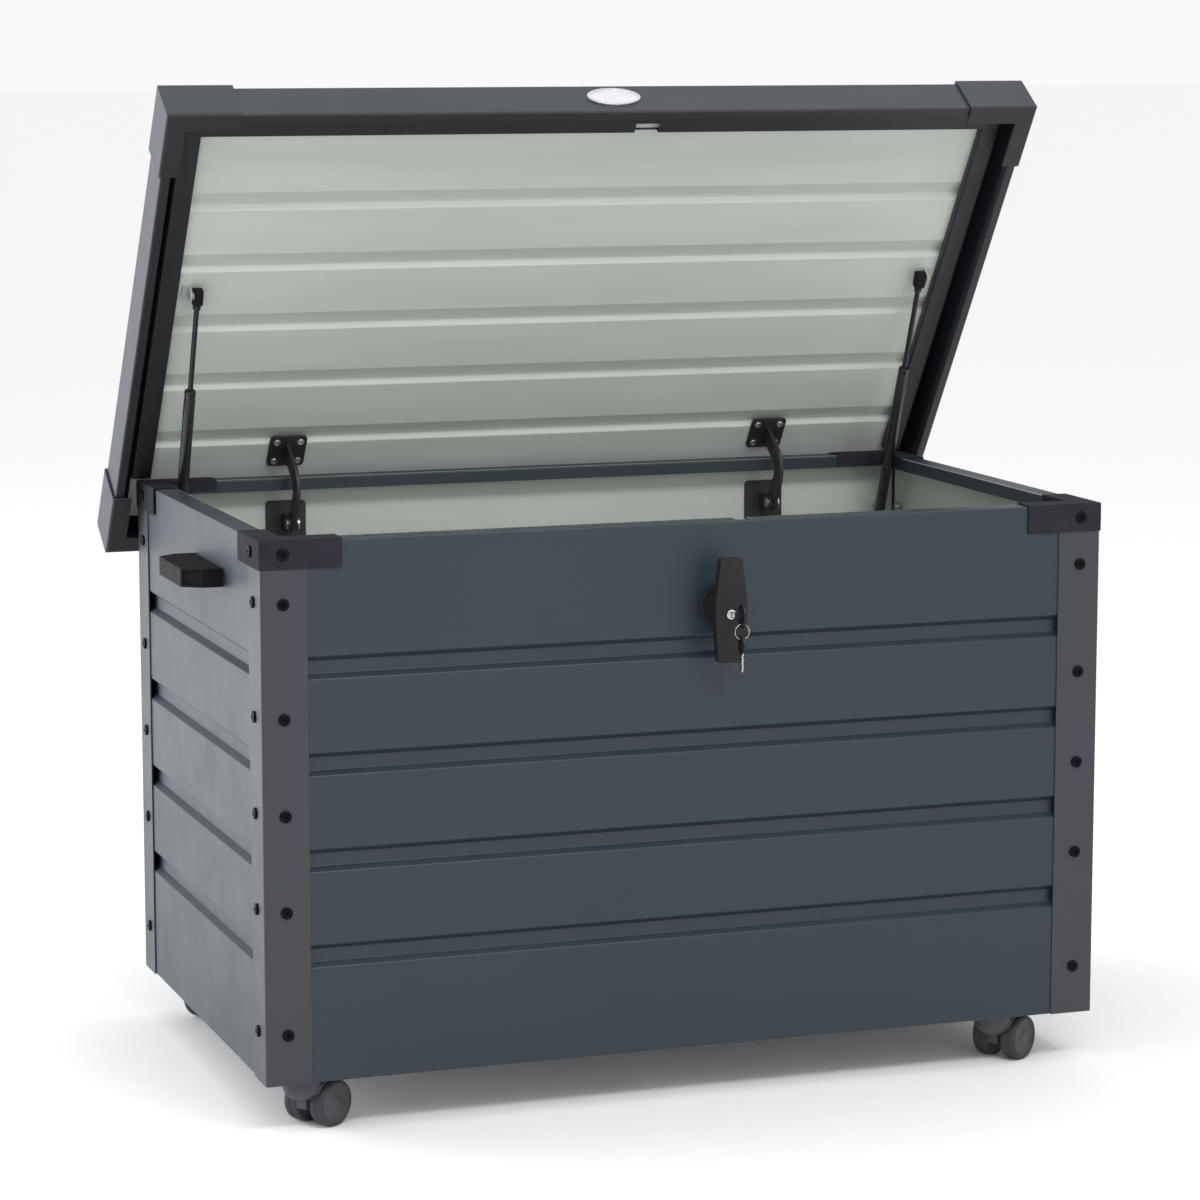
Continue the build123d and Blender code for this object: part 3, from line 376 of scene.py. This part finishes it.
def lathe(profile, segments=48):
    """A body of revolution about z, from (radius, height) points in millimetres."""
    bm = bmesh.new()
    rings = []
    for radius, height in profile:
        if radius == 0:
            rings.append([bm.verts.new((0, 0, height * MM))])
            continue
        ring = []
        for i in range(segments):
            angle = 2 * math.pi * i / segments
            corner = Vector((radius * math.cos(angle), radius * math.sin(angle), height))
            ring.append(bm.verts.new(corner * MM))
        rings.append(ring)
    for low, high in zip(rings, rings[1:]):
        for i in range(segments):
            corners = [ring[k % len(ring)] for ring, k in ((low, i), (low, i + 1), (high, i + 1), (high, i))]
            corners = list(dict.fromkeys(corners))
            if len(corners) > 2:
                bm.faces.new(corners)
    bmesh.ops.recalc_face_normals(bm, faces=bm.faces)
    return bm


def rounded_outline(points, radius, steps=5):
    """A polygon's corners turned into arcs, in millimetres."""
    result = []
    count = len(points)
    for i, point in enumerate(points):
        corner = Vector(point)
        before = Vector(points[i - 1]) - corner
        after = Vector(points[(i + 1) % count]) - corner
        half = before.angle(after) / 2
        cut = min(radius / math.tan(half), before.length * 0.45, after.length * 0.45)
        start = corner + before.normalized() * cut
        end = corner + after.normalized() * cut
        for step in range(steps + 1):
            t = step / steps
            result.append(tuple((1 - t) ** 2 * start + 2 * t * (1 - t) * corner + t ** 2 * end))
    return result


def oval(width, height, count=48, centre=(0, 0)):
    angles = [2 * math.pi * i / count for i in range(count)]
    return [(centre[0] + width / 2 * math.cos(a), centre[1] + height / 2 * math.sin(a)) for a in angles]


def slab(outline, low, high, bevel=0.0, steps=3, holes=()):
    """A flat plate from an (x, y) outline with holes, its edges rounded, in millimetres."""
    loops = [[Vector((x, y, 0)) for x, y in loop] for loop in (outline, *holes)]
    flat = [point for loop in loops for point in loop]
    bm = bmesh.new()
    verts = [bm.verts.new((p.x * MM, p.y * MM, low * MM)) for p in flat]
    for triangle in tessellate_polygon(loops):
        if len(set(triangle)) == 3:
            bm.faces.new([verts[i] for i in triangle])
    bmesh.ops.dissolve_limit(bm, angle_limit=0.01, verts=bm.verts, edges=bm.edges)
    raised = bmesh.ops.extrude_face_region(bm, geom=bm.faces[:])
    moved = [v for v in raised["geom"] if isinstance(v, bmesh.types.BMVert)]
    bmesh.ops.translate(bm, verts=moved, vec=(0, 0, (high - low) * MM))
    bmesh.ops.recalc_face_normals(bm, faces=bm.faces)
    if bevel:
        rim = [e for e in bm.edges if len(e.link_faces) == 2 and e.calc_face_angle(0) > 1.2]
        bmesh.ops.bevel(
            bm, geom=rim, offset=bevel * MM, segments=steps, profile=0.5, affect="EDGES", clamp_overlap=True,
        )
    return bm


def wire(points, radius, sides=10):
    """A round wire through points, its ends closed, in millimetres."""
    path = [Vector(p) for p in points]
    bm = bmesh.new()
    rings = []
    normal = None
    for i, point in enumerate(path):
        ahead = path[min(i + 1, len(path) - 1)]
        behind = path[max(i - 1, 0)]
        tangent = (ahead - behind).normalized()
        if normal is None:
            normal = tangent.orthogonal()
        normal = (normal - tangent * normal.dot(tangent)).normalized()
        other = tangent.cross(normal)
        ring = []
        for k in range(sides):
            angle = 2 * math.pi * k / sides
            spoke = normal * math.cos(angle) + other * math.sin(angle)
            ring.append(bm.verts.new((point + spoke * radius) * MM))
        rings.append(ring)
    for low, high in zip(rings, rings[1:]):
        for k in range(sides):
            bm.faces.new((low[k], low[(k + 1) % sides], high[(k + 1) % sides], high[k]))
    bm.faces.new(rings[0])
    bm.faces.new(rings[-1])
    bmesh.ops.recalc_face_normals(bm, faces=bm.faces)
    return bm


class Builder:
    """Collects shapes into one piece, each with its own material."""

    def __init__(self, name):
        self.name = name
        self.bm = bmesh.new()
        self.materials = []

    def add(self, shape, material, place=None):
        if material not in self.materials:
            self.materials.append(material)
        index = self.materials.index(material)
        for face in shape.faces:
            face.material_index = index
        if place:
            shape.transform(place)
        mesh = bpy.data.meshes.new("shape")
        shape.to_mesh(mesh)
        shape.free()
        self.bm.from_mesh(mesh)
        bpy.data.meshes.remove(mesh)

    def finish(self, body, replaced):
        """Put the piece on its body, in place of a CAD node."""
        mesh = bpy.data.meshes.new(self.name)
        self.bm.to_mesh(mesh)
        self.bm.free()
        for material in self.materials:
            mesh.materials.append(material)
        mesh.shade_smooth()
        mesh.set_sharp_from_angle(angle=SHARP_EDGE)
        piece = bpy.data.objects.new(self.name, mesh)
        bpy.context.scene.collection.objects.link(piece)
        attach(piece, body)
        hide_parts(replaced)


def loose_parts(node):
    """Bounding boxes of the separate solids of a CAD node, in metres."""
    mesh = NODES[node].data
    parent = list(range(len(mesh.vertices)))

    def root(i):
        while parent[i] != i:
            parent[i] = parent[parent[i]]
            i = parent[i]
        return i

    merged = {}
    for i, vertex in enumerate(mesh.vertices):
        key = tuple(round(c, 6) for c in vertex.co)
        parent[i] = merged.setdefault(key, i)
    for edge in mesh.edges:
        a, b = root(edge.vertices[0]), root(edge.vertices[1])
        parent[a] = b
    boxes = {}
    for i, vertex in enumerate(mesh.vertices):
        low, high = boxes.setdefault(root(i), (list(vertex.co), list(vertex.co)))
        for axis in range(3):
            low[axis] = min(low[axis], vertex.co[axis])
            high[axis] = max(high[axis], vertex.co[axis])
    return [(Vector(low), Vector(high)) for low, high in boxes.values()]


# ---------------------------------------------------------------- screws

def screw_head(radius, height, rings=13, segments=40):
    """A domed pan head with a cross recess, its underside at z = 0, in millimetres."""
    bm = bmesh.new()
    reach, half, depth = radius * 0.5, radius * 0.12, height * 0.6

    def surface(x, y):
        share = math.hypot(x, y) / radius
        dome = height * (0.55 + 0.45 * math.sqrt(max(0.0, 1 - 0.92 * share ** 3)))
        arm = 0.0
        for u, v in ((abs(x), abs(y)), (abs(y), abs(x))):
            arm = max(arm, min(1.0, 4.0 * max(0.0, 1 - max(u / reach, v / half / (1.25 - u / radius)))))
        return dome - depth * arm * (1 - 0.6 * share)

    grid = []
    for i in range(1, rings + 1):
        r = radius * (i / rings)
        ring = []
        for k in range(segments):
            angle = 2 * math.pi * k / segments
            x, y = r * math.cos(angle), r * math.sin(angle)
            ring.append(bm.verts.new((x * MM, y * MM, surface(x, y) * MM)))
        grid.append(ring)
    base = [bm.verts.new((v.co.x, v.co.y, 0)) for v in grid[-1]]
    grid.append(base)
    top = bm.verts.new((0, 0, surface(0, 0) * MM))
    for k in range(segments):
        bm.faces.new((top, grid[0][k], grid[0][(k + 1) % segments]))
    for low, high in zip(grid, grid[1:]):
        for k in range(segments):
            bm.faces.new((low[k], high[k], high[(k + 1) % segments], low[(k + 1) % segments]))
    bm.faces.new(base)
    bmesh.ops.recalc_face_normals(bm, faces=bm.faces)
    return bm


def threaded_shank(radius, length, pitch=1.0):
    """Shank from z = 0 down, with rolled thread ridges over its lower half."""
    profile = [(0, 0), (radius, 0), (radius, -length * 0.3)]
    depth = -length * 0.3
    while depth > -length + pitch:
        profile += [(radius * 0.86, depth - pitch * 0.5), (radius, depth - pitch)]
        depth -= pitch
    profile += [(radius * 0.8, -length), (0, -length)]
    return lathe(profile, 20)


def make_wall_screws(m):
    """The pan-head screws of posts and corner caps, where the CAD has them."""
    build = Builder("wall_screws")
    head_radius, head_height, length = 6.2, 3.0, 11.0
    for count, (low, high) in enumerate(sorted(loose_parts("panel_screws"), key=lambda box: tuple(box[0]))):
        size, middle = high - low, (low + high) / 2
        axis = 0 if size.x > size.y else 1
        outward = Vector((0, 0, 0))
        outward[axis] = math.copysign(1, middle[axis])
        seat = Vector(middle)
        seat[axis] = (high if middle[axis] > 0 else low)[axis] - outward[axis] * head_height * MM
        turn = Matrix.Rotation(math.radians(37 * count % 90), 4, "Z")
        place = at(seat, facing(outward)) @ turn
        build.add(screw_head(head_radius, head_height), m["black_screw"], place)
        build.add(threaded_shank(3.0, length), m["zinc"], place)
    build.finish("box", "panel_screws")


# ---------------------------------------------------------------- lock and keys

def make_lock(m):
    x, _, z = JOINTS["handle_turn"]["pos_m"]
    plug_x, _, plug_z = JOINTS["key_turn"]["pos_m"]
    outward = facing((0, -1, 0))
    front = -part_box("t_handle")[0].y / MM
    back = front - 11.0
    rose = -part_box("lock_escutcheon")[0].y / MM

    grip = Builder("lock_t_handle")
    half = 55.5
    outline = [
        (-14.5, -half), (14.5, -half), (17.5, -14), (17.5, 10),
        (12, half), (-12, half), (-17.5, 10), (-17.5, -14),
    ]
    drop = (plug_z - z) / MM
    bar = slab(rounded_outline(outline, 4.0), back, front, 1.6, 4, holes=[oval(11.1, 11.1, 40, (0, drop))])
    grip.add(bar, m["handle_black"], at((x, 0, z), outward))
    neck = [
        (0, 244), (4.4, 244), (5.0, 244.6), (5.0, 252.5), (6, 252.5), (6, rose + 0.2), (15.2, rose + 0.2),
        (16, rose + 1.2), (15.2, rose + 6), (13.6, rose + 14), (12.6, back), (0, back),
    ]
    grip.add(lathe(neck), m["handle_black"], at((x, 0, z), outward))
    grip.finish("handle", "t_handle")

    key = Builder("lock_key")
    plug_place = (plug_x, 0, plug_z)
    face = front + 1.2
    plug = [
        (0, back + 0.6), (5.3, back + 0.6), (5.4, face - 0.7), (4.8, face), (3.9, face),
        (3.7, face - 0.6), (0, face - 0.6),
    ]
    key.add(lathe(plug, 40), m["chrome"], at(plug_place, outward))
    # Painted shade: a thin black plate in the plug face stands for the dark keyway slot around the blade.
    keyway_shadow_plate = slab([(-1.3, -4.6), (1.3, -4.6), (1.3, 4.6), (-1.3, 4.6)], face - 0.7, face - 0.45, 0)
    key.add(keyway_shadow_plate, m["key_black"], at(plug_place, outward))
    head_y = JOINTS["ring_swing"]["pos_m"][1] / MM
    sheet = facing((1, 0, 0))
    root, tip = head_y + 6, -front - 0.4
    blade = slab([(root, -3.8), (tip, -3.8), (tip, 3.8), (root, 3.8)], -1, 1, 0.25, 2)
    key.add(blade, m["nickel"], at(plug_place, sheet))
    hole_z = (JOINTS["ring_swing"]["pos_m"][2] - plug_z) / MM
    bow = key_bow((head_y, hole_z + 8.5), 20, 25, (0, -8.5), 2.4)
    key.add(bow, m["key_black"], at(plug_place, sheet))
    key.add(key_pad((head_y, hole_z + 10.2), 12, 12), m["key_black"], at(plug_place, sheet))
    key.finish("key", "key")

    ring_place = JOINTS["ring_swing"]["pos_m"]
    turns, radius, steps = 2, 8.0, 48
    coil = []
    for i in range(turns * steps + 1):
        angle = 2 * math.pi * i / steps
        pitch = 0.76 * i / (turns * steps) - 0.38
        coil.append((radius * math.sin(angle), pitch, radius * math.cos(angle) - radius))
    ring = Builder("split_ring")
    ring.add(wire(coil, 0.38), m["nickel"], at(ring_place))
    ring.finish("keyring", "key_ring")

    spare = Builder("spare_lock_key")
    hook = at((ring_place[0], ring_place[1], ring_place[2] - 2 * radius * MM), sheet)
    spare.add(key_bow((0, -6), 17, 19, (0, 6), 2.2), m["key_black"], hook)
    spare.add(key_pad((0, -8.2), 9.5, 8.5), m["key_black"], hook)
    cuts = [(-3.5, -14), (3.5, -14), (3.5, -33), (0.5, -36), (-2.2, -34)]
    for step in range(5):
        bottom = -32.5 + step * 3.4
        depth = -1.4 - 0.5 * (step % 2)
        cuts += [(depth, bottom), (depth, bottom + 0.9), (-3.5, bottom + 2.4)]
    spare.add(slab(cuts, -1, 1, 0.2, 2), m["nickel"], hook)
    # Painted shade: a black strip on both faces of the spare key's blade stands for the shade in its milled
    # groove.
    groove_shadow_strip = slab([(0.4, -15), (1.5, -15), (1.5, -33), (0.4, -33)], -1.12, 1.12, 0.1, 1)
    spare.add(groove_shadow_strip, m["key_black"], hook)
    spare.finish("keyring", "spare_key")


def key_bow(centre, width, height, hole, hole_radius):
    """Plastic head of a key, rounded all over, with its ring hole."""
    outline = oval(width, height, 56, centre)
    opening = oval(2 * hole_radius, 2 * hole_radius, 28, (centre[0] + hole[0], centre[1] + hole[1]))
    return slab(outline, -1.4, 1.4, 0.8, 3, holes=[opening])


def key_pad(centre, width, height):
    """Raised grip pad on both faces of a key head."""
    return slab(oval(width, height, 40, centre), -1.75, 1.75, 0.3, 2)


# ---------------------------------------------------------------- gas struts

def make_struts(m):
    top, neck = STRUT_TUBE_TOP, STRUT_LENGTH - 11
    for side, out in (("left", -1), ("right", 1)):
        pivot = JOINTS[f"strut_{side}_pivot"]["pos_m"]
        along = JOINTS[f"strut_{side}_slide"]["axis"]
        axle = facing((out, 0, 0), along)
        stand = at(pivot, facing(along))
        tube = Builder(f"gas_strut_tube_{side}")
        tube_profile = [
            (0, 9), (3.6, 9), (3.6, 14.6), (5.6, 14.6), (6.5, 15.8), (6.5, 190), (6.5, top - 11),
            (6.1, top - 10.2), (6.1, top - 8.6), (6.5, top - 7.8), (6.5, top - 2.4), (6.1, top - 0.8),
            (5.0, top), (3.5, top), (3.3, top - 0.8), (0, top - 0.8),
        ]
        tube.add(lathe(tube_profile, 40), m["strut_black"], stand)
        eye = rounded_outline([(-7, -9), (7, -9), (7, 9), (4.6, 12), (-4.6, 12), (-7, 9)], 5.0)
        socket = slab(eye, -6.6, 6.0, 1.6, 3, holes=[oval(8.8, 8.8, 28)])
        tube.add(socket, m["black_plastic"], at(pivot, axle))
        sweep = [math.radians(degrees) for degrees in range(-200, 21, 10)]
        clip = [(6.0 * math.cos(a), 5.7 * math.sin(a), 4.6) for a in sweep]
        tube.add(wire(clip, 0.5, 8), m["nickel"], at(pivot, axle))
        tube.finish(f"strut_{side}_cylinder", f"strut_cylinder_{side}")

        rod = Builder(f"gas_strut_rod_{side}")
        rod_profile = [(0, 150), (3, 150), (3, neck - 6), (4.4, neck - 5.4), (4.8, neck), (0, neck)]
        rod.add(lathe(rod_profile, 32), m["strut_rod"], stand)
        end = Vector(pivot) + Vector(along) * STRUT_LENGTH * MM
        cap = rounded_outline([(-6.5, 8.4), (6.5, 8.4), (6.5, -8), (4.4, -11), (-4.4, -11), (-6.5, -8)], 4.6)
        rod.add(slab(cap, -5.1, 5.1, 1.5, 3), m["black_plastic"], at(end, axle))
        stud = [(0, 4.8), (5.0, 4.8), (5.0, 6.0), (3.5, 6.2), (3.5, 6.6), (0, 6.7)]
        rod.add(lathe(stud, 32), m["zinc"], at(end, axle))
        rod.finish(f"strut_{side}_rod", f"strut_rod_{side}")


# ---------------------------------------------------------------- casters, badge

def make_casters(m):
    half = WHEEL_HALF_WIDTH
    for corner in CORNERS:
        for letter, sign in (("a", 1), ("b", -1)):
            node = f"caster_{corner}_wheel_{letter}"
            low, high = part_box(node)
            axle = Vector(JOINTS[f"roll_{corner}_{letter}"]["axis"]) * sign
            place = at((low + high) / 2, facing(axle))
            wheel = Builder(f"wheel_{corner}_{letter}")
            tread = [
                (20.6, -half), (22.4, -half), (24.2, -half + 1), (24.85, -half + 2.6), (25, -half + 4.4),
                (25, -1.2), (24.5, -0.9), (24.5, 0.9), (25, 1.2), (25, half - 5), (24.8, half - 3),
                (24, half - 1.2), (22.6, half - 0.2), (21.2, half), (20.6, half - 0.6),
            ]
            wheel.add(lathe(tread, 56), m["tread"], place)
            disc = [
                (0, -half + 0.4), (20.7, -half + 0.4), (20.7, half - 0.8), (20.2, half - 0.5),
                (19.2, half - 0.5), (18.6, half - 1.6), (12.5, half - 2.1), (7.2, half - 1.6),
                (6.4, half - 0.7), (5.2, half - 0.4), (0, half - 0.3),
            ]
            wheel.add(lathe(disc, 48), m["caster_grey"], place)
            wheel.finish(f"wheel_{corner}_{letter}", node)


def make_badge(m):
    """Blank oval badge: a domed metal rim around an enamelled field."""
    low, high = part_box("lid_badge")
    middle = (low + high) / 2
    outward = Vector((0, -math.cos(LID_OPEN), math.sin(LID_OPEN)))
    place = at(middle, facing(outward, OPEN_LID_UP))
    badge = Builder("blank_badge")
    badge.add(slab(oval(62, 31, 72), -1.25, 1.25, 1.0, 4, holes=[oval(55.5, 25, 72)]), m["badge"], place)
    badge.add(slab(oval(56, 25.5, 72), -1.25, 0.35, 0.0), m["enamel"], place)
    badge.finish("lid", "lid_badge")


# ---------------------------------------------------------------- stage

def make_floor():
    """A pale floor that reaches to the horizon."""
    shader = Shader("floor", Roughness=0.9, Specular_IOR_Level=0.1)
    speckle = shader.noise(40, 6, 0.6)
    shader.colour(shader.mix(shader.remap(speckle, 0.3, 0.7), (0.935, 0.935, 0.935), (0.955, 0.955, 0.955)))
    mesh = bpy.data.meshes.new("floor")
    half = 60.0
    corners = [(-half, -half, 0), (half, -half, 0), (half, half, 0), (-half, half, 0)]
    mesh.from_pydata(corners, [], [(0, 1, 2, 3)])
    floor = bpy.data.objects.new("floor", mesh)
    floor.data.materials.append(shader.material)
    bpy.context.scene.collection.objects.link(floor)


make_camera()
make_world()
make_lights()
materials = make_materials()
paint_cad(materials)
make_wall_screws(materials)
make_lock(materials)
make_struts(materials)
make_casters(materials)
make_badge(materials)
make_floor()
